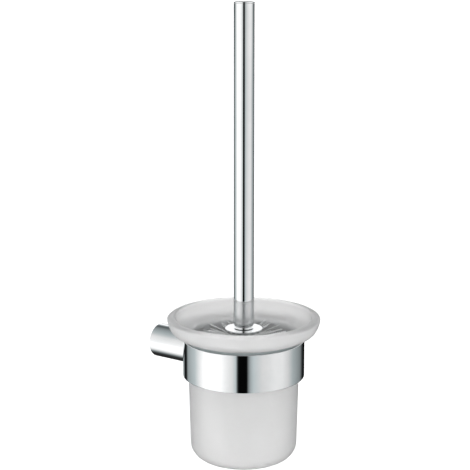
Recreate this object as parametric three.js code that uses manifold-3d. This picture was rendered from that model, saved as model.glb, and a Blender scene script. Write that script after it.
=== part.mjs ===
// A wall-mounted toilet brush holder: a chromed post and ring carry a frosted glass cup,
// and a brush with a chromed tube for a handle stands in the cup.
//
// Millimetres, +Z up. The origin is the centre of the wall bracket's back face, so the wall is
// the plane y = 0 and the room is towards -Y. The post's axis is the line x = 0, z = 0.
// The cup, the ring and the brush share one upright axis. Heights on it are counted from the
// ring's lower edge.
import * as THREE from "three";
import { mergeVertices } from "three/addons/utils/BufferGeometryUtils.js";
import Module from "manifold-3d";

// ---- driving dimensions -------------------------------------------------------------------
const GAP = 0.3; // between pieces that touch
const EDGE = 0.4; // chamfer on turned and rolled metal edges

const WALL_TO_AXIS = 86.4; // from the wall to the cup's axis

const CUP_RADIUS = 45.2; // outside of the cup, inside the ring
const CUP_BASE_RADIUS = 43.2; // outside of the cup, just above its rounded foot
const CUP_FOOT_ROUND = 12.7;
const CUP_WALL = 2.8;
const CUP_FLOOR = 4;
const CUP_BELOW_RING = 69.2;
const THROAT_BELOW_RING_TOP = 1.4; // the throat is where the flare leaves the straight wall
const FLARE_RISE = 17.4; // from the throat to the rim's widest point
const FLARE_UPRIGHT = 0.43; // share of the rise over which its outer face is drawn straight up
const FLARE_TUCK = 2.5; // how far inside the rim the outer face's curve is aimed
const FLARE_INNER_RIM = 0.35; // shares of the rise, where the inner face's curve is aimed
const FLARE_INNER_THROAT = 0.56;
const RIM_OVERHANG = 12.5; // beyond the ring's outer face
const LIP_WIDTH = 5; // from the rim's widest point in to its crest
const LIP_HEIGHT = 2.3;
const LIP_INNER_ROUND = 2;

const RING_CLEARANCE = 2.2; // round the cup
const RING_WALL = 1.5;
const RING_ABOVE_POST = 2.8; // the ring's upper edge stands this far above the post

const GASKET_WALL = 0.9;
const GASKET_HEIGHT = 8; // from the ring's upper edge down

const POST_RADIUS = 13.8;
const POST_WALL = 1.8; // round the rear socket
const RING_BELOW_POST = 0.2; // the ring's lower edge hangs this far below the post
const SOCKET_DEPTH = 12;
const POST_WEB = 3; // metal left between the socket and the ring screw's hole

const BRACKET_DEPTH = 9;
const BRACKET_GROOVE_FROM_WALL = 5;
const BRACKET_GROOVE_DEPTH = 2;
const BRACKET_RIM = 1; // metal outside the countersinks

const BRACKET_HOLE_RADIUS = 2.1; // for countersunk wood screws
const BRACKET_SINK_RADIUS = 3.7;

const SET_SCREW_RADIUS = 2;
const SET_SCREW_KEY = 1; // half of the hexagon's width across flats

const RING_SCREW_RADIUS = 2.5;
const RING_SCREW_HEAD_RADIUS = 4.2;
const RING_SCREW_HEAD = 1.4;

const TUBE_RADIUS = 8;
const TUBE_WALL = 1;
const HANDLE_LENGTH = 258.8; // from the splash disc's top to the top of the cap
const CAP_HEAD = 1.3;
const CAP_PLUG = 9;
const COLLAR_HEIGHT = 2.7;
const INSERT_PLUG = 18;

const DISC_RADIUS = 15;
const DISC_THICKNESS = 2;
const DISC_ABOVE_RING = 8.2; // the disc's top above the ring's upper edge

const STUD_RADIUS = 4;
const STUD_IN_CORE = 18;
const STUD_IN_HANDLE = 16;

const CORE_RADIUS = 7.5;
const CORE_FLANGE_RADIUS = 10;
const CORE_FLANGE = 2;
const BRISTLE_CLEARANCE = 5.8; // from the tufts' ends to the cup's wall
const BRISTLE_ROWS = 9;
const TUFTS_PER_ROW = 12;
const TUFT_ROOT_RADIUS = 1.5;
const ROW_BAND = 1.5; // ring that carries a row's tufts round the core
const TIP_LENGTH = 18;
const TIP_TUFTS = 10;
const TIP_TILT = 35; // degrees below level
const TIP_TUFT_RADIUS = 3; // at its end

// ---- places that follow from them ---------------------------------------------------------
const ringInside = CUP_RADIUS + RING_CLEARANCE;
const ringOutside = ringInside + RING_WALL;
const rimRadius = ringOutside + RIM_OVERHANG;
const postAboveRingFoot = POST_RADIUS + RING_BELOW_POST;
const ringHeight = postAboveRingFoot + POST_RADIUS + RING_ABOVE_POST;
const throatHeight = ringHeight - THROAT_BELOW_RING_TOP;
const rimHeight = throatHeight + FLARE_RISE;
const cupInside = CUP_BASE_RADIUS - CUP_WALL;
const cupFloorTop = -CUP_BELOW_RING + CUP_FLOOR;

const postLength = WALL_TO_AXIS - ringOutside;
const socketRadius = POST_RADIUS - POST_WALL;
const bracketRadius = socketRadius - GAP;
const bracketHoleOffset = bracketRadius - BRACKET_RIM - BRACKET_SINK_RADIUS;

const discTop = ringHeight + DISC_ABOVE_RING;
const discBottom = discTop - DISC_THICKNESS;
const coreTop = discBottom - GAP;
const collarBottom = discTop + GAP;
const tubeBottom = collarBottom + COLLAR_HEIGHT + GAP;
const tubeTop = discTop + HANDLE_LENGTH - CAP_HEAD - GAP;
const tubeInside = TUBE_RADIUS - TUBE_WALL;
const threadHole = STUD_RADIUS + GAP;

const bristleRadius = cupInside - BRISTLE_CLEARANCE;
const tipBottom = cupFloorTop + GAP;
const coreBottom = tipBottom + TIP_LENGTH;
const rowsTop = coreTop - CORE_FLANGE - GAP;
const rowPitch = (rowsTop - coreBottom) / BRISTLE_ROWS;
const tuftEndRadius = rowPitch / 2 - GAP;

// ---- solids -------------------------------------------------------------------------------
const wasm = await Module();
wasm.setup();

/** A manifold-3d solid from a closed three.js geometry. */
function solid(geometry) {
  const bare = geometry.clone();
  bare.deleteAttribute("normal");
  bare.deleteAttribute("uv");
  const merged = mergeVertices(bare, 1e-4);
  return new wasm.Manifold(new wasm.Mesh({
    numProp: 3,
    vertProperties: new Float32Array(merged.attributes.position.array),
    triVerts: new Uint32Array(merged.index.array),
  }));
}

/** A three.js geometry from a manifold-3d solid. */
function geometryOf(body) {
  const mesh = body.getMesh();
  const geometry = new THREE.BufferGeometry();
  geometry.setAttribute("position", new THREE.BufferAttribute(new Float32Array(mesh.vertProperties), 3));
  geometry.setIndex(new THREE.BufferAttribute(new Uint32Array(mesh.triVerts), 1));
  geometry.computeVertexNormals();
  return geometry;
}

/** The base geometry with each of the cutters taken away. */
function cut(base, ...cutters) {
  return geometryOf(cutters.reduce((body, cutter) => body.subtract(solid(cutter)), solid(base)));
}

/** The geometries joined into one. */
function join(first, ...others) {
  return geometryOf(others.reduce((body, other) => body.add(solid(other)), solid(first)));
}

/** Turns [radius, height] points, counter-clockwise, about +Z. */
function turned(profile, segments = 36) {
  const points = profile.map(([radius, height]) => new THREE.Vector2(radius, height));
  return new THREE.LatheGeometry(points, segments).rotateX(Math.PI / 2);
}

/** A turned ring: the profile closes on itself and stays off the axis. */
function turnedRing(profile, segments = 36) {
  return turned([...profile, profile[0]], segments);
}

/** A plain round bar about +Z. */
function bar(radius, bottom, top, segments = 32) {
  return turned([[0, bottom], [radius, bottom], [radius, top], [0, top]], segments);
}

/** A washer or tube about +Z with chamfered outer edges. */
function collar(inside, outside, bottom, top, edge = EDGE) {
  return turnedRing([
    [inside, bottom], [outside - edge, bottom], [outside, bottom + edge],
    [outside, top - edge], [outside - edge, top], [inside, top],
  ]);
}

/** Points on a quarter of an ellipse, from angle start to end in degrees. */
function arc(centreR, centreZ, radiusR, radiusZ, start, end, steps) {
  return Array.from({ length: steps + 1 }, (_, i) => {
    const angle = THREE.MathUtils.degToRad(start + (end - start) * i / steps);
    return [centreR + radiusR * Math.cos(angle), centreZ + radiusZ * Math.sin(angle)];
  });
}

// ---- glass --------------------------------------------------------------------------------
/** The flare's outer face: upright at the throat, then out over the ring and up to the rim. */
const flareOuter = new THREE.CubicBezierCurve(
  new THREE.Vector2(CUP_RADIUS, throatHeight),
  new THREE.Vector2(CUP_RADIUS, throatHeight + FLARE_UPRIGHT * FLARE_RISE),
  new THREE.Vector2(rimRadius - FLARE_TUCK, throatHeight),
  new THREE.Vector2(rimRadius, rimHeight),
);

/** Height of the flare's outer face at a radius between the throat's and the rim's. */
function flareHeightAt(radius) {
  let low = 0;
  let high = 1;
  for (let i = 0; i < 40; i += 1) {
    const middle = (low + high) / 2;
    if (flareOuter.getPoint(middle).x < radius) low = middle;
    else high = middle;
  }
  return flareOuter.getPoint(low).y;
}

/** The cup: a flat foot, a slightly tapered wall, a flare and a thick rounded lip. */
function glassCup() {
  const foot = -CUP_BELOW_RING;
  const footRound = arc(CUP_BASE_RADIUS - CUP_FOOT_ROUND, foot + CUP_FOOT_ROUND,
    CUP_FOOT_ROUND, CUP_FOOT_ROUND, -90, 0, 6);
  const outer = flareOuter.getPoints(10).map((point) => [point.x, point.y]);
  const crest = rimRadius - LIP_WIDTH;
  const lip = arc(crest, rimHeight, LIP_WIDTH, LIP_HEIGHT, 0, 90, 5).slice(1);
  const lipInside = arc(crest, rimHeight + LIP_HEIGHT - LIP_INNER_ROUND,
    LIP_INNER_ROUND, LIP_INNER_ROUND, 90, 155, 2).slice(1);
  const [lipEndR, lipEndZ] = lipInside.at(-1);
  const throatInside = CUP_RADIUS - CUP_WALL;
  const inner = new THREE.CubicBezierCurve(
    new THREE.Vector2(lipEndR, lipEndZ),
    new THREE.Vector2(lipEndR, throatHeight + FLARE_INNER_RIM * FLARE_RISE),
    new THREE.Vector2(throatInside, throatHeight + FLARE_INNER_THROAT * FLARE_RISE),
    new THREE.Vector2(throatInside, throatHeight + CUP_WALL / 2),
  ).getPoints(8).map((point) => [point.x, point.y]).slice(1);
  const innerRound = CUP_FOOT_ROUND - CUP_WALL;
  const floorRound = arc(cupInside - innerRound, cupFloorTop + innerRound,
    innerRound, innerRound, 0, -90, 4);
  return turned([
    [0, foot], ...footRound, ...outer, ...lip, ...lipInside, ...inner, ...floorRound, [0, cupFloorTop],
  ], 56);
}

// ---- ring, gasket and post ----------------------------------------------------------------
/** Turns a geometry built along +Z so that it points from the wall into the room. */
const intoRoom = (geometry) => geometry.rotateX(Math.PI / 2);

/** Where the flat head of the ring screw rests against the ring's round inside. */
const ringScrewSeat = Math.sqrt(ringInside ** 2 - RING_SCREW_HEAD_RADIUS ** 2) - GAP;
const ringScrewHole = RING_SCREW_RADIUS + GAP;
const ringScrewEnd = WALL_TO_AXIS - SOCKET_DEPTH - POST_WEB - GAP;

/** A round bar that runs from the cup's axis towards the wall, at the post's height. */
function towardsWall(radius, from, to, segments = 24) {
  return bar(radius, from, to, segments).rotateX(-Math.PI / 2).translate(0, 0, postAboveRingFoot);
}

function supportRing() {
  const band = turnedRing([
    [ringInside, 0], [ringOutside - EDGE, 0], [ringOutside, EDGE],
    [ringOutside, ringHeight - EDGE], [ringOutside - EDGE, ringHeight],
    [ringInside + EDGE, ringHeight], [ringInside, ringHeight - EDGE],
  ], 64);
  return cut(band, towardsWall(ringScrewHole, ringInside - 2, ringOutside + 2));
}

/** Machine screw that holds the ring to the post, with a cross recess in its low head. */
function ringScrew() {
  const headTop = ringScrewSeat - RING_SCREW_HEAD;
  const body = turned([
    [0, headTop], [RING_SCREW_HEAD_RADIUS - EDGE, headTop], [RING_SCREW_HEAD_RADIUS, headTop + EDGE],
    [RING_SCREW_HEAD_RADIUS, ringScrewSeat], [RING_SCREW_RADIUS, ringScrewSeat],
    [RING_SCREW_RADIUS, ringScrewEnd - EDGE], [RING_SCREW_RADIUS - EDGE, ringScrewEnd], [0, ringScrewEnd],
  ], 24);
  const recess = new THREE.BoxGeometry(RING_SCREW_HEAD_RADIUS, 0.8, RING_SCREW_HEAD);
  const across = recess.clone().rotateZ(Math.PI / 2);
  recess.translate(0, 0, headTop);
  across.translate(0, 0, headTop);
  return cut(body, recess, across).rotateX(-Math.PI / 2).translate(0, 0, postAboveRingFoot);
}

/** Clear ring inside the metal one: its upper edge follows the flare, which rests on it. */
function seatGasket() {
  const outside = ringInside - GAP;
  const inside = outside - GASKET_WALL;
  const bottom = ringHeight - GASKET_HEIGHT;
  const seat = [outside, inside].map((radius) => [radius, flareHeightAt(radius - GAP) - GAP]);
  return turnedRing([[inside, bottom], [outside, bottom], ...seat], 64);
}

/** The post: a rear socket for the bracket, and a front end shaped to the ring. */
function post() {
  const body = turned([
    [socketRadius, 0], [POST_RADIUS - EDGE, 0], [POST_RADIUS, EDGE], [POST_RADIUS, WALL_TO_AXIS - CUP_RADIUS],
    [0, WALL_TO_AXIS - CUP_RADIUS], [0, SOCKET_DEPTH], [socketRadius, SOCKET_DEPTH], [socketRadius, 0],
  ], 48);
  const ringSeat = bar(ringOutside + GAP, -2 * POST_RADIUS, 2 * POST_RADIUS, 144)
    .translate(0, -WALL_TO_AXIS, 0);
  const screwHole = intoRoom(bar(ringScrewHole, SOCKET_DEPTH + POST_WEB, WALL_TO_AXIS - CUP_RADIUS, 24));
  const setHole = bar(SET_SCREW_RADIUS + GAP, -POST_RADIUS - 1, -bracketRadius + 1, 20)
    .translate(0, -BRACKET_GROOVE_FROM_WALL, 0);
  return cut(intoRoom(body), ringSeat, screwHole, setHole);
}

// ---- wall fixing --------------------------------------------------------------------------
/** A steel disc with a groove for the set screw and two countersunk holes. */
function wallBracket() {
  const grooveFloor = SET_SCREW_RADIUS / 2 + GAP; // half widths, with 45 degree sides
  const grooveMouth = grooveFloor + BRACKET_GROOVE_DEPTH;
  const body = turned([
    [0, 0], [bracketRadius - EDGE, 0], [bracketRadius, EDGE],
    [bracketRadius, BRACKET_GROOVE_FROM_WALL - grooveMouth],
    [bracketRadius - BRACKET_GROOVE_DEPTH, BRACKET_GROOVE_FROM_WALL - grooveFloor],
    [bracketRadius - BRACKET_GROOVE_DEPTH, BRACKET_GROOVE_FROM_WALL + grooveFloor],
    [bracketRadius, BRACKET_GROOVE_FROM_WALL + grooveMouth], [bracketRadius, BRACKET_DEPTH - EDGE],
    [bracketRadius - EDGE, BRACKET_DEPTH], [0, BRACKET_DEPTH],
  ]);
  const sinkDepth = BRACKET_SINK_RADIUS - BRACKET_HOLE_RADIUS; // 45 degree sides
  const holes = [-1, 1].map((side) => turned([
    [0, -1], [BRACKET_HOLE_RADIUS, -1], [BRACKET_HOLE_RADIUS, BRACKET_DEPTH - sinkDepth],
    [BRACKET_SINK_RADIUS + 1, BRACKET_DEPTH + 1], [0, BRACKET_DEPTH + 1],
  ], 20).translate(side * bracketHoleOffset, 0, 0));
  return intoRoom(cut(body, ...holes));
}

/** Grub screw with a cone point and a hexagon key hole, upwards into the bracket's groove. */
function setScrew() {
  const tip = -(bracketRadius - BRACKET_GROOVE_DEPTH) - GAP;
  const end = -POST_RADIUS + GAP;
  const body = turned([
    [0, end], [SET_SCREW_RADIUS, end], [SET_SCREW_RADIUS, tip - SET_SCREW_RADIUS / 2],
    [SET_SCREW_RADIUS / 2, tip], [0, tip],
  ], 20);
  const key = new THREE.CylinderGeometry(SET_SCREW_KEY / Math.cos(Math.PI / 6), SET_SCREW_KEY / Math.cos(Math.PI / 6), 3, 6)
    .rotateX(Math.PI / 2).translate(0, 0, end);
  return cut(body, key).translate(0, -BRACKET_GROOVE_FROM_WALL, 0);
}

// ---- handle -------------------------------------------------------------------------------
/** The tube, open at both ends until the cap and the insert close it. */
function handleTube() {
  return collar(tubeInside, TUBE_RADIUS, tubeBottom, tubeTop, GAP / 2);
}

function handleCap() {
  const top = discTop + HANDLE_LENGTH;
  const plug = tubeInside - GAP;
  return turned([
    [0, tubeTop - CAP_PLUG], [plug - EDGE, tubeTop - CAP_PLUG], [plug, tubeTop - CAP_PLUG + EDGE],
    [plug, top - CAP_HEAD], [TUBE_RADIUS, top - CAP_HEAD],
    [TUBE_RADIUS, top - EDGE], [TUBE_RADIUS - EDGE, top], [0, top],
  ]);
}

/** Threaded plug in the tube's lower end; its collar is as wide as the tube. */
function handleInsert() {
  const plug = tubeInside - GAP;
  const collarTop = collarBottom + COLLAR_HEIGHT;
  const holeTop = collarBottom + STUD_IN_HANDLE + 1;
  return turned([
    [threadHole, collarBottom], [TUBE_RADIUS - EDGE, collarBottom], [TUBE_RADIUS, collarBottom + EDGE],
    [TUBE_RADIUS, collarTop], [plug, collarTop], [plug, collarTop + INSERT_PLUG - EDGE],
    [plug - EDGE, collarTop + INSERT_PLUG], [0, collarTop + INSERT_PLUG],
    [0, holeTop], [threadHole, holeTop], [threadHole, collarBottom],
  ]);
}

function splashDisc() {
  return collar(threadHole, DISC_RADIUS, discBottom, discTop);
}

// ---- brush head ---------------------------------------------------------------------------
function headStud() {
  const bottom = coreTop - STUD_IN_CORE;
  const top = collarBottom + STUD_IN_HANDLE;
  return turned([
    [0, bottom], [STUD_RADIUS - EDGE, bottom], [STUD_RADIUS, bottom + EDGE],
    [STUD_RADIUS, top - EDGE], [STUD_RADIUS - EDGE, top], [0, top],
  ], 24);
}

/** Plastic core with a flange under the disc, a blind hole for the stud and a round lower end. */
function brushCore() {
  const holeBottom = coreTop - STUD_IN_CORE - GAP;
  const end = arc(CORE_RADIUS - 3, coreBottom + GAP + 3, 3, 3, -90, 0, 3);
  return turned([
    [0, coreBottom + GAP], ...end, [CORE_RADIUS, coreTop - CORE_FLANGE], [CORE_FLANGE_RADIUS, coreTop - CORE_FLANGE],
    [CORE_FLANGE_RADIUS, coreTop], [threadHole, coreTop], [threadHole, holeBottom], [0, holeBottom],
  ], 24);
}

/** A tuft along +X from a root radius to an end radius, thicker at its end. */
function tuft(from, to, endRadius) {
  return new THREE.CylinderGeometry(endRadius, TUFT_ROOT_RADIUS, to - from, 6)
    .rotateZ(-Math.PI / 2).translate((from + to) / 2, 0, 0);
}

/** One row: tufts like spokes on a narrow band round the core. Every other row is staggered. */
function bristleRow(index) {
  const bandInside = CORE_RADIUS + GAP;
  const band = turnedRing([
    [bandInside, -TUFT_ROOT_RADIUS], [bandInside + ROW_BAND, -TUFT_ROOT_RADIUS],
    [bandInside + ROW_BAND, TUFT_ROOT_RADIUS], [bandInside, TUFT_ROOT_RADIUS],
  ], 24);
  const step = 2 * Math.PI / TUFTS_PER_ROW;
  const tufts = Array.from({ length: TUFTS_PER_ROW }, (_, i) => (
    tuft(bandInside + ROW_BAND / 2, bristleRadius, tuftEndRadius).rotateZ((i + index / 2) * step)
  ));
  return join(band, ...tufts).translate(0, 0, rowsTop - rowPitch * (index + 0.5));
}

/** The end tufts: they fan down from the core's lower end to the cup's floor. */
function bristleTip() {
  const hub = bar(CORE_RADIUS - 1, -3, 0, 24);
  const tilt = THREE.MathUtils.degToRad(TIP_TILT);
  const rootDepth = TUFT_ROOT_RADIUS;
  const reach = (TIP_LENGTH - rootDepth - TIP_TUFT_RADIUS * Math.cos(tilt)) / Math.sin(tilt);
  const tufts = Array.from({ length: TIP_TUFTS }, (_, i) => (
    tuft(0, reach, TIP_TUFT_RADIUS).rotateY(tilt).translate(1, 0, -rootDepth)
      .rotateZ(i * 2 * Math.PI / TIP_TUFTS)
  ));
  const middle = turned([[0, -TIP_LENGTH], [4, -TIP_LENGTH], [TUFT_ROOT_RADIUS, -1], [0, -1]], 12);
  return join(hub, middle, ...tufts).translate(0, 0, coreBottom);
}

// ---- materials ----------------------------------------------------------------------------
const metal = (color, roughness) => new THREE.MeshStandardMaterial({ color, roughness, metalness: 1 });
const plastic = (color, roughness) => new THREE.MeshStandardMaterial({ color, roughness, metalness: 0 });

const chrome = metal(0xe6e9ec, 0.05);
const zincPlate = metal(0xb9bcc0, 0.35);
const frostedGlass = new THREE.MeshStandardMaterial({
  color: 0xe3e6e6, roughness: 0.6, metalness: 0, transparent: true, opacity: 0.8,
});
const clearVinyl = new THREE.MeshStandardMaterial({
  color: 0xdfe4e6, roughness: 0.25, metalness: 0, transparent: true, opacity: 0.6,
});
const whitePlastic = plastic(0xf0f0ee, 0.4);
const whiteNylon = plastic(0xf4f5f5, 0.5);

// ---- assembly -----------------------------------------------------------------------------
function add(group, name, geometry, material) {
  const mesh = new THREE.Mesh(geometry, material);
  mesh.name = name;
  group.add(mesh);
}

const holder = new THREE.Group();

add(holder, "wall_bracket", wallBracket(), zincPlate);
add(holder, "post", post(), chrome);
add(holder, "set_screw", setScrew(), zincPlate);

// Everything on the cup's axis, with z = 0 at the ring's lower edge.
const onCupAxis = new THREE.Group();
onCupAxis.position.set(0, -WALL_TO_AXIS, -postAboveRingFoot);
holder.add(onCupAxis);

add(onCupAxis, "support_ring", supportRing(), chrome);
add(onCupAxis, "ring_screw", ringScrew(), zincPlate);
add(onCupAxis, "seat_gasket", seatGasket(), clearVinyl);
add(onCupAxis, "glass_cup", glassCup(), frostedGlass);

add(onCupAxis, "handle_tube", handleTube(), chrome);
add(onCupAxis, "handle_cap", handleCap(), chrome);
add(onCupAxis, "handle_insert", handleInsert(), chrome);
add(onCupAxis, "splash_disc", splashDisc(), chrome);

add(onCupAxis, "head_stud", headStud(), zincPlate);
add(onCupAxis, "brush_core", brushCore(), whitePlastic);
for (let i = 0; i < BRISTLE_ROWS; i += 1) {
  add(onCupAxis, `bristle_row_${i + 1}`, bristleRow(i), whiteNylon);
}
add(onCupAxis, "bristle_tip", bristleTip(), whiteNylon);

export default holder;
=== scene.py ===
"""A wall-mounted toilet brush holder, finished in chrome, frosted glass and nylon.

Lengths are in millimetres until a mesh is made. Turned pieces are drawn as [radius, height]
profiles. On the cup's axis, heights count from the ring's lower edge; on the post's axis, they
count from the wall.
"""

import math
import random

import bmesh
import bpy
from mathutils import Matrix, Vector


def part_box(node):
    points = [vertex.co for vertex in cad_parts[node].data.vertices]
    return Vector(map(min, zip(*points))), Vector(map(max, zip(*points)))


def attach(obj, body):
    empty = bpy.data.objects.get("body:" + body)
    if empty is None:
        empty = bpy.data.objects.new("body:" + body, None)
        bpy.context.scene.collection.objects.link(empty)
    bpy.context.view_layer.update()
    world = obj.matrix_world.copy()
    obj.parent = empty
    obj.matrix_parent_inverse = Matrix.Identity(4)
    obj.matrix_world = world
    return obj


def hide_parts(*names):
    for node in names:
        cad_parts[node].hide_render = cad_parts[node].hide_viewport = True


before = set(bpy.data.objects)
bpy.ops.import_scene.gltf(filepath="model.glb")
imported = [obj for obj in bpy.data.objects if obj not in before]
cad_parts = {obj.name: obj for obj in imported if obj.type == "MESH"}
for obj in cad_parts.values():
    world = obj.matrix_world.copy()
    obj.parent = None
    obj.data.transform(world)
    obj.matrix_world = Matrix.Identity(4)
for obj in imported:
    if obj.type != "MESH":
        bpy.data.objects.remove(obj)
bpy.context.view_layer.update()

MM = 0.001
SEED = 11

# ---- places and sizes from the frame -------------------------------------------------------
ring_low, ring_high = [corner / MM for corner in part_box("support_ring")]
post_low, post_high = [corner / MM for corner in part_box("post")]
axis_y = (ring_low.y + ring_high.y) / 2  # of the cup, the ring and the brush
ring_foot = ring_low.z

ON_CUP_AXIS = Matrix.Translation(Vector((0, axis_y, ring_foot)) * MM)
FROM_WALL = Matrix.Rotation(math.pi / 2, 4, "X")  # a piece drawn upwards points into the room


def on_axis(node):
    """Outer radius, bottom and top of a CAD node that is turned about the cup's axis."""
    low, high = [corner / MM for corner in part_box(node)]
    return high.x, low.z - ring_foot, high.z - ring_foot


def along_post(node):
    """Half width, nearest and furthest distance from the wall of a CAD node on the post."""
    low, high = [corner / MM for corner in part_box(node)]
    return high.x, -high.y, -low.y


ring_radius, _, ring_top = on_axis("support_ring")
gasket_radius, gasket_bottom, _ = on_axis("seat_gasket")
rim_radius, cup_foot, cup_top = on_axis("glass_cup")
tube_radius, tube_bottom, _ = on_axis("handle_tube")
_, cap_bottom, cap_top = on_axis("handle_cap")
_, insert_bottom, insert_top = on_axis("handle_insert")
disc_radius, disc_bottom, disc_top = on_axis("splash_disc")
stud_radius, stud_bottom, stud_top = on_axis("head_stud")
flange_radius, core_bottom, core_top = on_axis("brush_core")
post_radius = post_high.x
bracket_radius, _, bracket_depth = along_post("wall_bracket")
screw_head_radius, screw_end, screw_head_top = along_post("ring_screw")
set_low, set_high = [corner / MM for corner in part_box("set_screw")]

# ---- sizes that the boxes don't hold -------------------------------------------------------
GAP = 0.3
HAIR = 0.06  # the fine line left between pieces that are fastened together
EDGE = 0.4  # rounding of an outer edge; the next three are for inner and finer ones
INNER_EDGE = 0.3
SMALL_EDGE = 0.2
FINE_EDGE = 0.1
ON_AXIS = 1e-6  # a profile's point nearer the axis than this is on it
SAME_PLACE = 1e-4

CUP_RADIUS = 45.2
CUP_BASE_RADIUS = 43.2
CUP_FOOT_ROUND = 12.7
CUP_WALL = 2.8
CUP_FLOOR = 4
FLARE_RISE = 17.4
FLARE_UPRIGHT = 0.43  # share of the rise over which the flare leaves the throat upright
FLARE_TUCK = 2.5  # how far inside the rim the outer face starts to turn up
FLARE_INNER_RIM = 0.35  # the inner face's two pulls, as shares of the rise
FLARE_INNER_THROAT = 0.56
LIP_WIDTH = 5
LIP_HEIGHT = 2.3
LIP_INNER_ROUND = 2
LIP_INNER_END = 155  # degrees round, where the lip's inner edge meets the inner face

RING_WALL = 1.5
GASKET_WALL = 0.9
POST_WALL = 1.8
SOCKET_DEPTH = 12
SOCKET_STEP = 0.75  # between the rings of faces where the set screw's hole is cut
POST_WEB = 3
GROOVE_FROM_WALL = 5
GROOVE_DEPTH = 2
BRACKET_HOLE_RADIUS = 2.1
BRACKET_SINK_RADIUS = 3.7
BRACKET_RIM = 1
SET_SCREW_RADIUS = 2
SET_SCREW_CHAMFER = 0.3
SET_SCREW_KEY = 1
SET_SCREW_KEY_DEPTH = 1.5
RING_SCREW_RADIUS = 2.5
RING_SCREW_HEAD = 1.4
RING_SCREW_DOME = 0.7
RING_SCREW_SLOT = 0.8
RING_SCREW_NECK = 0.8  # plain rod between the head and the thread
RING_SCREW_CHAMFER = 0.4

TUBE_WALL = 1
TUBE_EDGE = 0.25
CAP_HEAD = 1.3
CAP_EDGE = 0.5
SEAM_EDGE = 0.12  # on both sides of the seam between tube and cap
COLLAR_HEIGHT = 2.7
INSERT_ABOVE_STUD = 1
DISC_EDGE = 0.35
STUD_CHAMFER = 0.2
CORE_RADIUS = 7.5
CORE_FLANGE = 2
CORE_END_ROUND = 3
CORE_NECK_ROUND = 0.6
FLANGE_EDGE = 0.5
M8_PITCH, M8_DEPTH, M8_STEP = 1.25, 0.65, 0.15  # a step is between the rings of faces of a thread
M5_PITCH, M5_DEPTH, M5_STEP = 0.8, 0.42, 0.1
M4_PITCH, M4_DEPTH, M4_STEP = 0.7, 0.3, 0.09

ring_inside = ring_radius - RING_WALL
rim_height = cup_top - LIP_HEIGHT
throat_height = rim_height - FLARE_RISE
cup_inside = CUP_BASE_RADIUS - CUP_WALL
floor_top = cup_foot + CUP_FLOOR
thread_hole = stud_radius + GAP
plug_radius = tube_radius - TUBE_WALL - GAP
socket_radius = post_radius - POST_WALL


# ---- profiles ------------------------------------------------------------------------------
def arc(centre, radii, start, end, steps):
    """Points on an ellipse's arc, from one angle to another in degrees."""
    angles = [math.radians(start + (end - start) * i / steps) for i in range(steps + 1)]
    return [(centre[0] + radii[0] * math.cos(a), centre[1] + radii[1] * math.sin(a)) for a in angles]


def bezier(a, b, c, d, steps):
    """Points on a cubic Bezier curve."""
    points = []
    for i in range(steps + 1):
        t = i / steps
        weights = ((1 - t) ** 3, 3 * t * (1 - t) ** 2, 3 * t * t * (1 - t), t ** 3)
        points.append(tuple(sum(w * p[k] for w, p in zip(weights, (a, b, c, d))) for k in (0, 1)))
    return points


def filleted(corners, closed=False, steps=6):
    """A profile from (radius, height, fillet) corners.

    Each fillet becomes an arc, with a point just before and just after it: those keep the long
    faces beside it flat to the eye.
    """
    profile = []
    count = len(corners)
    for i, (r, z, fillet) in enumerate(corners):
        if not fillet or (not closed and i in (0, count - 1)):
            profile.append((r, z))
            continue
        corner = Vector((r, z))
        back = (Vector(corners[i - 1][:2]) - corner).normalized()
        ahead = (Vector(corners[(i + 1) % count][:2]) - corner).normalized()
        half = back.angle(ahead) / 2
        centre = corner + (back + ahead).normalized() * fillet / math.sin(half)
        tangent = fillet / math.tan(half)
        guard = tangent + fillet / 4
        start = corner + back * tangent - centre
        turn = start.angle_signed(corner + ahead * tangent - centre)
        profile.append(tuple(corner + back * guard))
        for k in range(steps + 1):
            profile.append(tuple(centre + Matrix.Rotation(-turn * k / steps, 2) @ start))
        profile.append(tuple(corner + ahead * guard))
    return profile


def stretch(radius, bottom, top, step):
    """A straight upright stretch of profile, cut into short steps."""
    count = max(1, math.ceil((top - bottom) / step))
    return [(radius, bottom + (top - bottom) * i / count) for i in range(count + 1)]


# ---- meshes --------------------------------------------------------------------------------
def turned(profile, segments=128, closed=False):
    """A bmesh of a counter-clockwise profile turned about +Z. An open one ends on the axis."""
    mesh = bmesh.new()
    loops = []
    for r, z in profile:
        if r < ON_AXIS:
            loops.append([mesh.verts.new((0, 0, z))])
            continue
        angles = [2 * math.pi * j / segments for j in range(segments)]
        loops.append([mesh.verts.new((r * math.cos(a), r * math.sin(a), z)) for a in angles])
    pairs = list(zip(loops, loops[1:]))
    if closed:
        pairs.append((loops[-1], loops[0]))
    for lower, upper in pairs:
        for j in range(segments):
            k = (j + 1) % segments
            if len(lower) == 1:
                mesh.faces.new((lower[0], upper[k], upper[j]))
            elif len(upper) == 1:
                mesh.faces.new((lower[j], lower[k], upper[0]))
            else:
                mesh.faces.new((lower[j], lower[k], upper[k], upper[j]))
    return mesh


def rod(radius, bottom, top, segments):
    """A bmesh of a plain round bar."""
    return turned([(0, bottom), (radius, bottom), (radius, top), (0, top)], segments)


def cut_thread(mesh, radius, depth, pitch, low, high):
    """Turns the straight stretch of a rod between two heights into a helical V thread."""
    for vertex in mesh.verts:
        x, y, z = vertex.co
        if low <= z <= high and abs(math.hypot(x, y) - radius) < SAME_PLACE:
            phase = (z / pitch - math.atan2(y, x) / (2 * math.pi)) % 1
            crest = 1 - abs(2 * phase - 1)
            lead = min(1, (z - low) / pitch, (high - z) / pitch)
            smaller = 1 - depth * (1 - crest * lead) / radius
            vertex.co.x *= smaller
            vertex.co.y *= smaller


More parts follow.
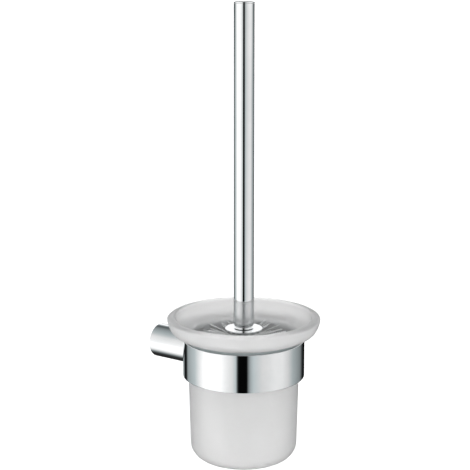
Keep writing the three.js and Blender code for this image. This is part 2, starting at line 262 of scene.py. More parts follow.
def finished(name, mesh, place=ON_CUP_AXIS, sharp=38):
    """An object in metres from a bmesh in millimetres, at its place in the frame."""
    data = bpy.data.meshes.new(name)
    mesh.to_mesh(data)
    mesh.free()
    data.transform(Matrix.Scale(MM, 4))
    data.shade_smooth()
    data.set_sharp_from_angle(angle=math.radians(sharp))
    piece = bpy.data.objects.new(name, data)
    bpy.context.scene.collection.objects.link(piece)
    piece.matrix_world = place
    return piece


def carve(piece, *cutters, sharp=38):
    """Takes bmesh cutters, in millimetres in the piece's own axes, out of a piece."""
    for mesh in cutters:
        cutter = finished("cutter", mesh, piece.matrix_world)
        modifier = piece.modifiers.new("carve", "BOOLEAN")
        modifier.object = cutter
        modifier.solver = "EXACT"
        bpy.context.view_layer.update()
        evaluated = piece.evaluated_get(bpy.context.evaluated_depsgraph_get())
        data = bpy.data.meshes.new_from_object(evaluated)
        piece.modifiers.clear()
        piece.data = data
        bpy.data.objects.remove(cutter)
    piece.data.shade_smooth()
    piece.data.set_sharp_from_angle(angle=math.radians(sharp))


def fitted(piece, body, node, material):
    """Gives a piece its material, and puts it on its body in place of its CAD node."""
    piece.data.materials.clear()
    piece.data.materials.append(material)
    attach(piece, body)
    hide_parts(node)


# ---- materials -----------------------------------------------------------------------------
NOISE_LOW, NOISE_HIGH = 0.3, 0.7  # between which nearly all of the noise lies
TINT_LOW, TINT_HIGH = 0.35, 0.65


def new_material(name):
    """A material with its node tree and its Principled shader."""
    material = bpy.data.materials.new(name)
    material.use_nodes = True
    return material, material.node_tree, material.node_tree.nodes["Principled BSDF"]


def noise(tree, scale, detail=3, stretched=(1, 1, 1)):
    """Noise on the piece's own coordinates, in features per metre, stretched by axis."""
    coordinates = tree.nodes.new("ShaderNodeTexCoord")
    mapping = tree.nodes.new("ShaderNodeMapping")
    mapping.inputs["Scale"].default_value = stretched
    texture = tree.nodes.new("ShaderNodeTexNoise")
    texture.inputs["Scale"].default_value = scale
    texture.inputs["Detail"].default_value = detail
    tree.links.new(coordinates.outputs["Object"], mapping.inputs["Vector"])
    tree.links.new(mapping.outputs["Vector"], texture.inputs["Vector"])
    return texture.outputs["Fac"]


def vary(tree, value, socket, low, high):
    """Drives a number on the shader between two values by noise."""
    reach = tree.nodes.new("ShaderNodeMapRange")
    reach.inputs["From Min"].default_value = NOISE_LOW
    reach.inputs["From Max"].default_value = NOISE_HIGH
    reach.inputs["To Min"].default_value = low
    reach.inputs["To Max"].default_value = high
    tree.links.new(value, reach.inputs["Value"])
    tree.links.new(reach.outputs["Result"], socket)


def tint(tree, value, socket, first, second):
    """Drives a colour on the shader between two colours by noise."""
    ramp = tree.nodes.new("ShaderNodeValToRGB")
    ramp.color_ramp.elements[0].position = TINT_LOW
    ramp.color_ramp.elements[1].position = TINT_HIGH
    ramp.color_ramp.elements[0].color = (*first, 1)
    ramp.color_ramp.elements[1].color = (*second, 1)
    tree.links.new(value, ramp.inputs["Fac"])
    tree.links.new(ramp.outputs["Color"], socket)


def emboss(tree, shader, value, depth):
    """Raises the surface by noise, by a depth in millimetres."""
    bump = tree.nodes.new("ShaderNodeBump")
    bump.inputs["Distance"].default_value = depth * MM
    tree.links.new(value, bump.inputs["Height"])
    tree.links.new(bump.outputs["Normal"], shader.inputs["Normal"])


def chrome():
    """Bright plating, with the faint unevenness that polishing leaves."""
    material, tree, shader = new_material("chrome")
    shader.inputs["Metallic"].default_value = 1
    tint(tree, noise(tree, 60), shader.inputs["Base Color"], (0.9, 0.915, 0.92), (0.95, 0.955, 0.96))
    vary(tree, noise(tree, 900, stretched=(1, 1, 0.1)), shader.inputs["Roughness"], 0.02, 0.06)
    emboss(tree, shader, noise(tree, 250, 2), 0.002)
    return material


def zinc_plate():
    """Plated steel: dull, slightly blue and yellow in patches, with fine turning marks."""
    material, tree, shader = new_material("zinc_plate")
    shader.inputs["Metallic"].default_value = 1
    tint(tree, noise(tree, 120), shader.inputs["Base Color"], (0.62, 0.64, 0.68), (0.72, 0.71, 0.66))
    vary(tree, noise(tree, 500), shader.inputs["Roughness"], 0.26, 0.42)
    emboss(tree, shader, noise(tree, 2500, stretched=(1, 1, 6)), 0.01)
    return material


def frosted_glass():
    """Etched glass: light passes and scatters, and the skin has a fine satin grain."""
    material, tree, shader = new_material("frosted_glass")
    shader.inputs["Transmission Weight"].default_value = 0.76
    shader.inputs["IOR"].default_value = 1.5
    tint(tree, noise(tree, 35), shader.inputs["Base Color"], (0.96, 0.957, 0.957), (0.985, 0.983, 0.983))
    vary(tree, noise(tree, 700), shader.inputs["Roughness"], 0.34, 0.42)
    emboss(tree, shader, noise(tree, 2600, 4), 0.012)
    return material


def clear_vinyl():
    """Soft clear ring, a little cloudy, with a dark blue-grey tint that is painted shade for the thin line
    between the glass and the metal ring.
    """
    material, tree, shader = new_material("clear_vinyl")
    shader.inputs["Transmission Weight"].default_value = 0.6
    shader.inputs["IOR"].default_value = 1.45
    # the dark blue-grey tint is painted shade: it darkens the line between the glass and the ring
    tint(tree, noise(tree, 90), shader.inputs["Base Color"], (0.48, 0.54, 0.55), (0.54, 0.6, 0.61))
    vary(tree, noise(tree, 400), shader.inputs["Roughness"], 0.3, 0.38)
    emboss(tree, shader, noise(tree, 300), 0.003)
    return material


def white_plastic():
    """Moulded plastic with a fine grain."""
    material, tree, shader = new_material("white_plastic")
    tint(tree, noise(tree, 80), shader.inputs["Base Color"], (0.8, 0.8, 0.785), (0.85, 0.85, 0.84))
    vary(tree, noise(tree, 600), shader.inputs["Roughness"], 0.34, 0.46)
    emboss(tree, shader, noise(tree, 2200, 4), 0.02)
    return material


def white_nylon():
    """Bristle filament: glossy, and slightly uneven in colour from one to the next."""
    material, tree, shader = new_material("white_nylon")
    shader.inputs["Subsurface Weight"].default_value = 0.15
    shader.inputs["Subsurface Radius"].default_value = (0.001, 0.001, 0.001)
    tint(tree, noise(tree, 700), shader.inputs["Base Color"], (0.84, 0.855, 0.86), (0.93, 0.935, 0.93))
    vary(tree, noise(tree, 1500), shader.inputs["Roughness"], 0.25, 0.4)
    emboss(tree, shader, noise(tree, 6000, 2), 0.004)
    return material


CHROME = chrome()
ZINC_PLATE = zinc_plate()
FROSTED_GLASS = frosted_glass()
VINYL_PAINTED_SHADE = clear_vinyl()
WHITE_PLASTIC = white_plastic()
WHITE_NYLON = white_nylon()


# ---- glass ---------------------------------------------------------------------------------
def flare_curve(steps):
    """The flare's outer face: upright at the throat, then out over the ring and up to the rim."""
    return bezier(
        (CUP_RADIUS, throat_height),
        (CUP_RADIUS, throat_height + FLARE_UPRIGHT * FLARE_RISE),
        (rim_radius - FLARE_TUCK, throat_height),
        (rim_radius, rim_height),
        steps,
    )


def make_glass_cup():
    foot_centre = (CUP_BASE_RADIUS - CUP_FOOT_ROUND, cup_foot + CUP_FOOT_ROUND)
    inner_round = CUP_FOOT_ROUND - CUP_WALL
    floor_centre = (cup_inside - inner_round, floor_top + inner_round)
    crest = rim_radius - LIP_WIDTH
    lip_inside = arc((crest, cup_top - LIP_INNER_ROUND), (LIP_INNER_ROUND,) * 2, 90, LIP_INNER_END, 8)[1:]
    end_r, end_z = lip_inside[-1]
    throat_inside = CUP_RADIUS - CUP_WALL
    inner = bezier(
        (end_r, end_z),
        (end_r, throat_height + FLARE_INNER_RIM * FLARE_RISE),
        (throat_inside, throat_height + FLARE_INNER_THROAT * FLARE_RISE),
        (throat_inside, throat_height + CUP_WALL / 2),
        32,
    )[1:]
    profile = [
        (0, cup_foot),
        (foot_centre[0] / 2, cup_foot),
        *arc(foot_centre, (CUP_FOOT_ROUND,) * 2, -90, 0, 20),
        *flare_curve(36),
        *arc((crest, rim_height), (LIP_WIDTH, LIP_HEIGHT), 0, 90, 14)[1:],
        *lip_inside,
        *inner,
        *arc(floor_centre, (inner_round,) * 2, 0, -90, 16),
        (floor_centre[0] / 2, floor_top),
        (0, floor_top),
    ]
    piece = finished("frosted_glass_cup", turned(profile, 192))
    fitted(piece, "cup", "glass_cup", FROSTED_GLASS)


def make_seat_gasket():
    """Clear ring inside the metal one: its upper edge follows the flare, which rests on it."""
    inside = gasket_radius - GASKET_WALL
    flare = flare_curve(120)
    steps = 6
    seat = []
    for i in range(steps + 1):
        radius = gasket_radius - GASKET_WALL * i / steps
        height = next(z for r, z in flare if r >= radius - GAP)
        seat.append((radius, height - GAP, 0))
    profile = filleted([
        (inside, gasket_bottom, SMALL_EDGE), (gasket_radius, gasket_bottom, SMALL_EDGE), *seat,
    ], closed=True)
    piece = finished("clear_seat_gasket", turned(profile, 160, closed=True))
    # the gasket's dark blue-grey colour is painted shade along the line between the glass and the ring
    fitted(piece, "gasket", "seat_gasket", VINYL_PAINTED_SHADE)


# ---- ring and post -------------------------------------------------------------------------
def from_axis_to_wall(mesh):
    """Lays a bmesh drawn upwards along the line from the cup's axis to the wall, at the post."""
    mesh.transform(Matrix.Translation((0, 0, -ring_foot)) @ Matrix.Rotation(-math.pi / 2, 4, "X"))
    return mesh


def make_support_ring():
    profile = filleted([
        (ring_inside, 0, INNER_EDGE), (ring_radius, 0, EDGE),
        (ring_radius, ring_top, EDGE), (ring_inside, ring_top, INNER_EDGE),
    ], closed=True)
    piece = finished("chromed_support_ring", turned(profile, 256, closed=True))
    past = 2
    hole = rod(RING_SCREW_RADIUS + GAP, ring_inside - past, ring_radius + past, 32)
    carve(piece, from_axis_to_wall(hole))
    fitted(piece, "holder", "support_ring", CHROME)


def make_post():
    """The post: a socket behind, and a front end that is shaped to the ring's round face."""
    front = -post_low.y
    hole = RING_SCREW_RADIUS + GAP
    web = SOCKET_DEPTH + POST_WEB
    rear = filleted([
        (socket_radius, SOCKET_DEPTH, 0), (socket_radius, 0, INNER_EDGE),
        (post_radius, 0, EDGE), (post_radius, 2 * EDGE, 0),
    ])
    profile = [
        (0, SOCKET_DEPTH), *rear, *stretch(post_radius, 1, 2 * GROOVE_FROM_WALL, SOCKET_STEP),
        *[(post_radius + (hole - post_radius) * i / 8, front) for i in range(9)],
        (hole, web), (0, web),
    ]
    mesh = turned(profile, 144)
    for vertex in mesh.verts:
        if vertex.co.z > front - SAME_PLACE:
            vertex.co.z = -axis_y - math.sqrt((ring_radius + HAIR) ** 2 - vertex.co.x ** 2)
    piece = finished("chromed_post", mesh, FROM_WALL)
    screw_hole = rod(SET_SCREW_RADIUS + GAP, 0, 2 * post_radius, 40)
    screw_hole.transform(Matrix.Translation((0, 0, GROOVE_FROM_WALL)) @ Matrix.Rotation(math.pi / 2, 4, "X"))
    carve(piece, screw_hole)
    fitted(piece, "holder", "post", CHROME)


def make_wall_bracket():
    """Steel disc that the post slides over, with a V groove and two countersunk holes."""
    floor = SET_SCREW_RADIUS / 2 + GAP
    mouth = floor + GROOVE_DEPTH
    profile = filleted([
        (0, 0, 0), (bracket_radius, 0, EDGE), (bracket_radius, GROOVE_FROM_WALL - mouth, FINE_EDGE),
        (bracket_radius - GROOVE_DEPTH, GROOVE_FROM_WALL - floor, SMALL_EDGE),
        (bracket_radius - GROOVE_DEPTH, GROOVE_FROM_WALL + floor, SMALL_EDGE),
        (bracket_radius, GROOVE_FROM_WALL + mouth, FINE_EDGE), (bracket_radius, bracket_depth, EDGE),
        (0, bracket_depth, 0),
    ], steps=3)
    piece = finished("wall_bracket_disc", turned(profile, 96), FROM_WALL)
    sink = BRACKET_SINK_RADIUS - BRACKET_HOLE_RADIUS
    offset = bracket_radius - BRACKET_RIM - BRACKET_SINK_RADIUS
    past = 1
    for side in (-1, 1):
        hole = turned([
            (0, -past), (BRACKET_HOLE_RADIUS, -past), (BRACKET_HOLE_RADIUS, bracket_depth - sink),
            (BRACKET_SINK_RADIUS + past, bracket_depth + past), (0, bracket_depth + past),
        ], 48)
        hole.transform(Matrix.Translation((side * offset, 0, 0)))
        carve(piece, hole)
    fitted(piece, "holder", "wall_bracket", ZINC_PLATE)


def make_set_screw():
    """Grub screw: cone point up in the bracket's groove, hexagon key hole below."""
    low, high = set_low.z, set_high.z
    straight = high - SET_SCREW_RADIUS / 2
    mesh = turned([
        (0, low), (SET_SCREW_RADIUS - SET_SCREW_CHAMFER, low),
        *stretch(SET_SCREW_RADIUS, low + SET_SCREW_CHAMFER, straight, M4_STEP),
        (SET_SCREW_RADIUS / 2, high), (0, high),
    ], 48)
    cut_thread(mesh, SET_SCREW_RADIUS, M4_DEPTH, M4_PITCH, low, high)
    piece = finished("set_screw_m4", mesh, Matrix.Translation((0, -GROOVE_FROM_WALL * MM, 0)))
    corner = SET_SCREW_KEY / math.cos(math.pi / 6)
    carve(piece, rod(corner, low - 1, low + SET_SCREW_KEY_DEPTH, 6))
    fitted(piece, "holder", "set_screw", ZINC_PLATE)


def make_ring_screw():
    """Machine screw from inside the ring into the post, with a cross recess."""
    head_top = -axis_y - screw_head_top
    seat = head_top + RING_SCREW_HEAD
    end = -axis_y - screw_end
    thread = (seat + RING_SCREW_NECK, end - RING_SCREW_CHAMFER)
    head = filleted([
        (0, head_top, 0), (screw_head_radius, head_top, RING_SCREW_DOME), (screw_head_radius, seat, 0),
    ], steps=5)
    profile = [*head, (RING_SCREW_RADIUS, seat), *stretch(RING_SCREW_RADIUS, *thread, M5_STEP), (0, end)]
    mesh = turned(profile, 48)
    cut_thread(mesh, RING_SCREW_RADIUS, M5_DEPTH, M5_PITCH, *thread)
    piece = finished("ring_screw_m5", mesh, ON_CUP_AXIS @ Matrix.Translation((0, 0, -ring_foot * MM))
                     @ Matrix.Rotation(-math.pi / 2, 4, "X"))
    for turn in (0, math.pi / 2):
        slot = bmesh.new()
        bmesh.ops.create_cube(slot, size=1)
        slot.transform(Matrix.Rotation(turn, 4, "Z") @ Matrix.Translation((0, 0, head_top))
                       @ Matrix.Diagonal((screw_head_radius, RING_SCREW_SLOT, RING_SCREW_HEAD, 1)))
        carve(piece, slot)
    fitted(piece, "holder", "ring_screw", ZINC_PLATE)


# ---- handle --------------------------------------------------------------------------------
def make_handle_tube():
    inside = tube_radius - TUBE_WALL
    top = cap_top - CAP_HEAD - HAIR
    profile = filleted([
        (inside, tube_bottom, FINE_EDGE), (tube_radius, tube_bottom, TUBE_EDGE),
        (tube_radius, top, SEAM_EDGE), (inside, top, FINE_EDGE),
    ], closed=True, steps=4)
    piece = finished("chromed_handle_tube", turned(profile, 128, closed=True))
    fitted(piece, "handle", "handle_tube", CHROME)


def make_handle_cap():
    """End cap: a plug in the tube, and a head as wide as the tube with a soft edge."""
    head = cap_top - CAP_HEAD
    profile = filleted([
        (0, cap_bottom, 0), (plug_radius, cap_bottom, CAP_EDGE), (plug_radius, head, FINE_EDGE),
        (tube_radius, head, SEAM_EDGE), (tube_radius, cap_top, CAP_EDGE), (0, cap_top, 0),
    ])
    piece = finished("chromed_handle_cap", turned(profile, 128))
    fitted(piece, "handle", "handle_cap", CHROME)


def make_handle_insert():
    """Threaded plug in the tube's lower end, with a collar as wide as the tube."""
    collar_top = insert_bottom + COLLAR_HEIGHT
    hole_top = stud_top + INSERT_ABOVE_STUD
    profile = filleted([
        (thread_hole, insert_bottom, SMALL_EDGE), (tube_radius, insert_bottom, EDGE),
        (tube_radius, collar_top, TUBE_EDGE), (plug_radius, collar_top, FINE_EDGE),
        (plug_radius, insert_top, EDGE), (0, insert_top, 0),
    ], steps=4)
    mesh = turned([(0, hole_top), (thread_hole, hole_top), *profile], 128)
    piece = finished("chromed_handle_insert", mesh)
    fitted(piece, "handle", "handle_insert", CHROME)


def make_splash_disc():
    profile = filleted([
        (thread_hole, disc_bottom, SMALL_EDGE), (disc_radius, disc_bottom, DISC_EDGE),
        (disc_radius, disc_top, DISC_EDGE), (thread_hole, disc_top, SMALL_EDGE),
    ], closed=True)
    piece = finished("chromed_splash_disc", turned(profile, 160, closed=True))
    fitted(piece, "disc", "splash_disc", CHROME)


# ---- brush head ----------------------------------------------------------------------------
def make_head_stud():
    rod_sides = stretch(stud_radius, stud_bottom + STUD_CHAMFER, stud_top - STUD_CHAMFER, M8_STEP)
    mesh = turned([(0, stud_bottom), *rod_sides, (0, stud_top)], 56)
    cut_thread(mesh, stud_radius, M8_DEPTH, M8_PITCH, stud_bottom, stud_top)
    piece = finished("head_stud_m8", mesh)
    fitted(piece, "brush_head", "head_stud", ZINC_PLATE)


def make_brush_core():
    """Plastic core with a flange under the disc and a blind hole for the stud."""
    hole_bottom = stud_bottom - GAP
    flange_bottom = core_top - CORE_FLANGE
    profile = filleted([
        (0, core_bottom, 0), (CORE_RADIUS, core_bottom, CORE_END_ROUND),
        (CORE_RADIUS, flange_bottom, CORE_NECK_ROUND),
        (flange_radius, flange_bottom, FLANGE_EDGE), (flange_radius, core_top, EDGE),
        (thread_hole, core_top, INNER_EDGE), (thread_hole, hole_bottom, INNER_EDGE), (0, hole_bottom, 0),
    ])
    piece = finished("white_brush_core", turned(profile, 96))
    fitted(piece, "brush_head", "brush_core", WHITE_PLASTIC)


FILAMENT_RADIUS = 0.19
FILAMENT_STEPS = 5
FILAMENT_SIDES = 4
TUFTS_PER_ROW = 12
FILAMENTS_PER_TUFT = 16
TUFT_ROOT = 1.3  # radius of a tuft where it leaves the core
TUFT_SPREAD = 9  # degrees, from a tuft's middle to its outermost filament
TUFT_SUNK = 0.6  # how far inside the core's face a tuft starts
LEAN_SHARES = (0.7, 1.25)
LENGTH_SHARES = (0.97, 1)
BEND_SHARE = 0.035
BRISTLE_ROWS = 9
BRISTLE_REACH = 34  # from the axis
TOP_ROW_TILT = 4  # degrees upwards; each row below it is tilted less
ROW_TILT_STEP = 2
TIP_SEED = SEED + 100
TIP_TUFTS = ((0, 1), (28, 6), (52, 11), (68, 15))  # degrees off straight down, and how many tufts
TIP_REACH = 30
TIP_SPREAD = 11
TIP_SUNK = 0.8
TIP_ROOT_INSET = 2


def filament(points, radius, vertices, faces):
    """Adds one bristle filament, a thin bar along the points with flat cut ends."""
    along = (points[-1] - points[0]).normalized()
    side = along.orthogonal().normalized()
    other = along.cross(side)
    first = len(vertices)
    for point in points:
        for k in range(FILAMENT_SIDES):
            angle = 2 * math.pi * k / FILAMENT_SIDES
            around = side * math.cos(angle) + other * math.sin(angle)
            vertices.append((point + around * radius) * MM)
    for i in range(len(points) - 1):
        for k in range(FILAMENT_SIDES):
            here = first + i * FILAMENT_SIDES
            after = (k + 1) % FILAMENT_SIDES
            faces.append((here + k, here + after, here + FILAMENT_SIDES + after, here + FILAMENT_SIDES + k))
    last = first + (len(points) - 1) * FILAMENT_SIDES
    faces.append(tuple(first + k for k in reversed(range(FILAMENT_SIDES))))
    faces.append(tuple(last + k for k in range(FILAMENT_SIDES)))


def tuft(root, direction, root_radius, spread, end_of, chance, vertices, faces):
    """Adds the filaments of one tuft: close together at the root, and fanned out at their ends."""
    side = direction.orthogonal().normalized()
    other = direction.cross(side)
    for _ in range(FILAMENTS_PER_TUFT):
        angle = chance.uniform(0, 2 * math.pi)
        out = math.sqrt(chance.random())
        offset = side * math.cos(angle) + other * math.sin(angle)
        start = root + offset * out * root_radius
        lean = math.radians(spread) * out * chance.uniform(*LEAN_SHARES)
        heading = (direction + offset * math.tan(lean)).normalized()
        length = end_of(start, heading) * chance.uniform(*LENGTH_SHARES)
        bend = (side * chance.uniform(-1, 1) + other * chance.uniform(-1, 1)) * length * BEND_SHARE
        points = []
        for i in range(FILAMENT_STEPS + 1):
            t = i / FILAMENT_STEPS
            points.append(start + heading * length * t + bend * t * t)
        filament(points, FILAMENT_RADIUS, vertices, faces)


def bristles(name, node, vertices, faces):
    """One piece of bristles from its filaments."""
    data = bpy.data.meshes.new(name)
    data.from_pydata(vertices, [], faces)
    data.shade_smooth()
    data.set_sharp_from_angle(angle=math.radians(60))
    piece = bpy.data.objects.new(name, data)
    bpy.context.scene.collection.objects.link(piece)
    piece.matrix_world = ON_CUP_AXIS
    fitted(piece, "brush_head", node, WHITE_NYLON)


def to_cylinder(radius):
    """How far a filament runs before it is this far from the axis."""
    def length(start, heading):
        a = heading.x ** 2 + heading.y ** 2
        b = start.x * heading.x + start.y * heading.y
        c = start.x ** 2 + start.y ** 2 - radius ** 2
        return (-b + math.sqrt(b * b - a * c)) / a
    return length


def make_bristle_row(index, height):
    """One row of tufts round the core. Every other row is staggered."""
    chance = random.Random(SEED + index)
    tilt = math.radians(max(0, TOP_ROW_TILT - ROW_TILT_STEP * index))
    vertices, faces = [], []
    for i in range(TUFTS_PER_ROW):
        bearing = 2 * math.pi * (i + index / 2) / TUFTS_PER_ROW
        outward = Vector((math.cos(bearing), math.sin(bearing), 0))
        direction = outward * math.cos(tilt) + Vector((0, 0, math.sin(tilt)))
        root = outward * (CORE_RADIUS - TUFT_SUNK) + Vector((0, 0, height))
        tuft(root, direction, TUFT_ROOT, TUFT_SPREAD, to_cylinder(BRISTLE_REACH), chance, vertices, faces)
    bristles(f"bristle_filaments_{index + 1}", f"bristle_row_{index + 1}", vertices, faces)


def make_bristle_tip():
    """The end tufts, which fan down from the core to just above the cup's floor."""
    chance = random.Random(TIP_SEED)
    root = Vector((0, 0, core_bottom))
    drop = root.z - on_axis("bristle_tip")[1] - FILAMENT_RADIUS

    def to_dome(start, heading):
        across, down = math.hypot(heading.x, heading.y), min(0, heading.z)
        return 1 / math.hypot(across / TIP_REACH, down / drop) - (start - root).length

    vertices, faces = [], []
    for off_down, count in TIP_TUFTS:
        for i in range(count):
            bearing = 2 * math.pi * (i + off_down / 90) / count
            angle = math.radians(off_down)
            outward = Vector((math.cos(bearing), math.sin(bearing), 0))
            direction = outward * math.sin(angle) - Vector((0, 0, math.cos(angle)))
            aside = (CORE_RADIUS - TIP_ROOT_INSET) * math.sin(angle)
            start = root + outward * aside + Vector((0, 0, TIP_SUNK))
            tuft(start, direction, TUFT_ROOT, TIP_SPREAD, to_dome, chance, vertices, faces)
    bristles("bristle_filaments_tip", "bristle_tip", vertices, faces)


def row_height(node):
    """The middle height of a CAD bristle row."""
    _, bottom, top = on_axis(node)
    return (bottom + top) / 2


make_glass_cup()
make_seat_gasket()
make_support_ring()
make_post()
make_wall_bracket()
make_set_screw()
make_ring_screw()
make_handle_tube()
make_handle_cap()
make_handle_insert()
make_splash_disc()
make_head_stud()
make_brush_core()
for row in range(BRISTLE_ROWS):
    make_bristle_row(row, row_height(f"bristle_row_{row + 1}"))
make_bristle_tip()

# ---- studio, in metres ---------------------------------------------------------------------
CAMERA_BEARING = -54.75  # degrees round the object; 0 looks along +Y
CAMERA_ELEVATION = 12.46
CAMERA_DISTANCE = 1.0868
CAMERA_LENS = 105.2
CAMERA_SENSOR = 36
CAMERA_SEES = 100  # metres
AIM_LEFT = 0.007  # of the cup's axis, as the camera sees it
AIM_ABOVE_RING_FOOT = 0.11507

FLOOR_BELOW_CUP = 0.3
FLOOR_RADIUS = 30
FLOOR_GLOW = 0.65

# What the metal mirrors at its own height: bearing from the camera in degrees, positive to the
# camera's right, with the brightness of the card there.
CARDS = (
    (-180, 0.36), (-156, 0.32), (-152, 0.01), (-139, 0.01), (-131, 0.34), (-106, 0.56), (-91, 0.9),
    (-80, 1.15), (-46, 1.15), (-36, 0.96), (-22, 0.76), (-15, 0.58), (-12, 0.04), (-9.5, 0.002),
    (6, 0.002), (8.5, 0.2), (13, 0.44), (18, 0.57), (35, 0.7), (60, 0.82), (78, 0.82), (92, 0.66),
    (106, 0.43), (118, 0.33), (134, 0.22), (142, 0.06), (150, 0.005), (180, 0.005),
)
# What it mirrors higher up: the sine of the elevation, with the brightness there. The first sky
# is on the camera's side of the object, and the second is behind the object.
NEAR_SKY = ((0, 1), (0.49, 0.77), (0.755, 0.46), (1, 0.25))
FAR_SKY = (
    (0, 0.02), (0.03, 0.02), (0.07, 1.1), (0.35, 1.1), (0.5, 0.5), (0.6, 0.12), (0.72, 0.12),
    (0.8, 0.29), (1, 0.25),
)
# Above the cards on the camera's side, a gap between two lamps: bearing and share of the sky left.
LAMP_GAP = (
    (-180, 1), (-30, 1), (-14, 0.5), (-10, 0.02), (5, 0.02), (8, 0.3), (30, 0.7), (60, 1), (180, 1),
)
# Soft light for everything that isn't a mirror: by the sine of the elevation, and how it changes
# to the camera's right and away from the camera.
SOFT_SKY = ((-0.3, 2.3), (0, 1.65), (0.25, 1.65), (0.5, 1.15), (0.75, 0.35), (1, 0.1))
SOFT_RIGHT = -0.16
SOFT_AWAY = -0.66
BRIGHTEST = 2.4
CARDS_END = (-0.12, 0.03)  # sines of the elevations between which the cards fade into the sky
FAR_SKY_BLEND = (0.1, 0.5)  # how far away a direction points, where the far sky begins and is full
GROUND_BLEND = (-0.1, 0.42)  # the same for the dark ground behind the object
GROUND_LEVEL = (-0.55, -0.35)  # sines of the elevations where the dark ground is full and ends
DARK_GROUND = (0.01, 0.01, 0.01)
BLACK = (0, 0, 0)
BLUE_GREY = (0.9, 1, 1.02)
BLUE_BELOW = 0.6  # brightness under which a mirrored grey is a little blue


def add_camera():
    bearing = math.radians(CAMERA_BEARING)
    elevation = math.radians(CAMERA_ELEVATION)
    right = Vector((math.cos(bearing), math.sin(bearing), 0))
    back = Vector((
        math.sin(bearing) * math.cos(elevation),
        -math.cos(bearing) * math.cos(elevation),
        math.sin(elevation),
    ))
    aim = ON_CUP_AXIS.translation - right * AIM_LEFT + Vector((0, 0, AIM_ABOVE_RING_FOOT))
    data = bpy.data.cameras.new("camera")
    data.lens = CAMERA_LENS
    data.sensor_width = CAMERA_SENSOR
    data.clip_end = CAMERA_SEES
    camera = bpy.data.objects.new("camera", data)
    bpy.context.scene.collection.objects.link(camera)
    camera.location = aim + back * CAMERA_DISTANCE
    camera.rotation_mode = "QUATERNION"
    camera.rotation_quaternion = (-back).to_track_quat("-Z", "Y")
    bpy.context.scene.camera = camera


def add_floor():
    """A wide pale floor under the wall-hung holder."""
    mesh = bmesh.new()
    bmesh.ops.create_circle(mesh, cap_ends=True, segments=96, radius=FLOOR_RADIUS)
    data = bpy.data.meshes.new("floor")
    mesh.to_mesh(data)
    mesh.free()
    floor = bpy.data.objects.new("floor", data)
    bpy.context.scene.collection.objects.link(floor)
    floor.location = (0, axis_y * MM, (ring_foot + cup_foot) * MM - FLOOR_BELOW_CUP)
    floor.visible_glossy = False
    floor.visible_transmission = False
    material, tree, shader = new_material("pale_floor")
    tint(tree, noise(tree, 2), shader.inputs["Base Color"], (0.86, 0.86, 0.86), (0.88, 0.88, 0.88))
    shader.inputs["Roughness"].default_value = 0.9
    shader.inputs["Emission Color"].default_value = (1, 1, 1, 1)
    shader.inputs["Emission Strength"].default_value = FLOOR_GLOW
    data.materials.append(material)


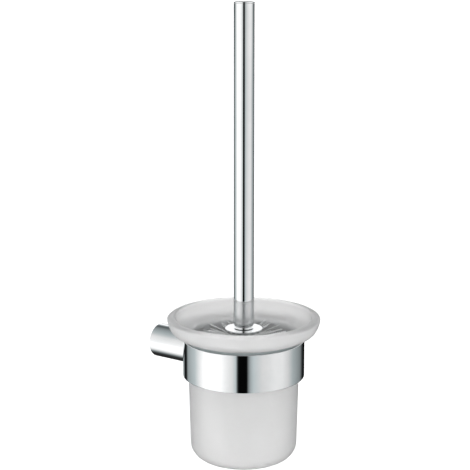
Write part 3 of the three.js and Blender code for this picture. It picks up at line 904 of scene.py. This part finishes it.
def add_light():
    """Soft light from all round, and cards for the metal to mirror."""
    world = bpy.data.worlds.new("studio")
    bpy.context.scene.world = world
    world.use_nodes = True
    tree = world.node_tree
    nodes, links = tree.nodes, tree.links
    nodes.clear()

    def math_node(operation, *values):
        node = nodes.new("ShaderNodeMath")
        node.operation = operation
        for socket, value in zip(node.inputs, values):
            if isinstance(value, (int, float)):
                socket.default_value = value
            else:
                links.new(value, socket)
        return node.outputs[0]

    def mix(factor, first, second):
        node = nodes.new("ShaderNodeMix")
        node.data_type = "RGBA"
        node.clamp_factor = False
        links.new(factor, node.inputs["Factor"])
        for socket, value in zip((node.inputs["A"], node.inputs["B"]), (first, second)):
            if isinstance(value, tuple):
                socket.default_value = (*value, 1)
            else:
                links.new(value, socket)
        return node.outputs["Result"]

    def ramp(value, stops, scale=1, tinted=True):
        """Grey ramp through (position, brightness) stops, with its darker greys a little blue."""
        node = nodes.new("ShaderNodeValToRGB")
        elements = node.color_ramp.elements
        while len(elements) > 1:
            elements.remove(elements[-1])
        for i, (position, level) in enumerate(stops):
            element = elements[0] if i == 0 else elements.new(position)
            element.position = position
            hue = BLUE_GREY if tinted and level < BLUE_BELOW else (1, 1, 1)
            element.color = (*[level * c / scale for c in hue], 1)
        links.new(value, node.inputs["Fac"])
        return node.outputs["Color"]

    def fade(value, start, end):
        """0 up to the start, 1 from the end, and smooth between."""
        node = nodes.new("ShaderNodeMapRange")
        node.interpolation_type = "SMOOTHSTEP"
        node.inputs["From Min"].default_value = start
        node.inputs["From Max"].default_value = end
        links.new(value, node.inputs["Value"])
        return node.outputs["Result"]

    coordinates = nodes.new("ShaderNodeTexCoord")
    turn = nodes.new("ShaderNodeVectorRotate")
    turn.rotation_type = "Z_AXIS"
    turn.inputs["Angle"].default_value = -math.radians(CAMERA_BEARING)
    links.new(coordinates.outputs["Generated"], turn.inputs["Vector"])
    split = nodes.new("ShaderNodeSeparateXYZ")
    links.new(turn.outputs["Vector"], split.inputs["Vector"])
    right, away, up = split.outputs
    bearing = math_node("ARCTAN2", right, math_node("MULTIPLY", away, -1))
    round_position = math_node("MULTIPLY_ADD", bearing, 1 / (2 * math.pi), 0.5)

    def round_ramp(stops, scale=1):
        return ramp(round_position, [(degrees / 360 + 0.5, level) for degrees, level in stops], scale)

    cards = round_ramp(CARDS, BRIGHTEST)
    near_sky = mix(round_ramp(LAMP_GAP), BLACK, ramp(up, NEAR_SKY, BRIGHTEST))
    sky = mix(fade(away, *FAR_SKY_BLEND), near_sky, ramp(up, FAR_SKY, BRIGHTEST))
    below = math_node("SUBTRACT", 1, fade(up, *GROUND_LEVEL))
    ground = mix(math_node("MULTIPLY", fade(away, *GROUND_BLEND), below), cards, DARK_GROUND)
    mirrored = mix(fade(up, *CARDS_END), ground, sky)

    steepness = math_node("MULTIPLY_ADD", up, 0.5, 0.5)
    soft_stops = [(sine / 2 + 0.5, level) for sine, level in SOFT_SKY]
    soft_sky = ramp(steepness, soft_stops, BRIGHTEST, tinted=False)
    across = math_node("MULTIPLY", right, SOFT_RIGHT)
    behind = math_node("MULTIPLY", away, SOFT_AWAY)
    share = math_node("ADD", math_node("ADD", across, behind), 1)
    soft = mix(share, BLACK, soft_sky)

    path = nodes.new("ShaderNodeLightPath")
    not_scattered = math_node("SUBTRACT", 1, path.outputs["Is Diffuse Ray"])
    after_mirror = math_node("MULTIPLY", math_node("MINIMUM", path.outputs["Glossy Depth"], 1), not_scattered)
    seen = mix(after_mirror, soft, mirrored)
    seen = mix(path.outputs["Is Camera Ray"], seen, (1 / BRIGHTEST,) * 3)
    background = nodes.new("ShaderNodeBackground")
    background.inputs["Strength"].default_value = BRIGHTEST
    links.new(seen, background.inputs["Color"])
    output = nodes.new("ShaderNodeOutputWorld")
    links.new(background.outputs[0], output.inputs["Surface"])


add_camera()
add_floor()
add_light()
bpy.context.scene.view_settings.view_transform = "Standard"
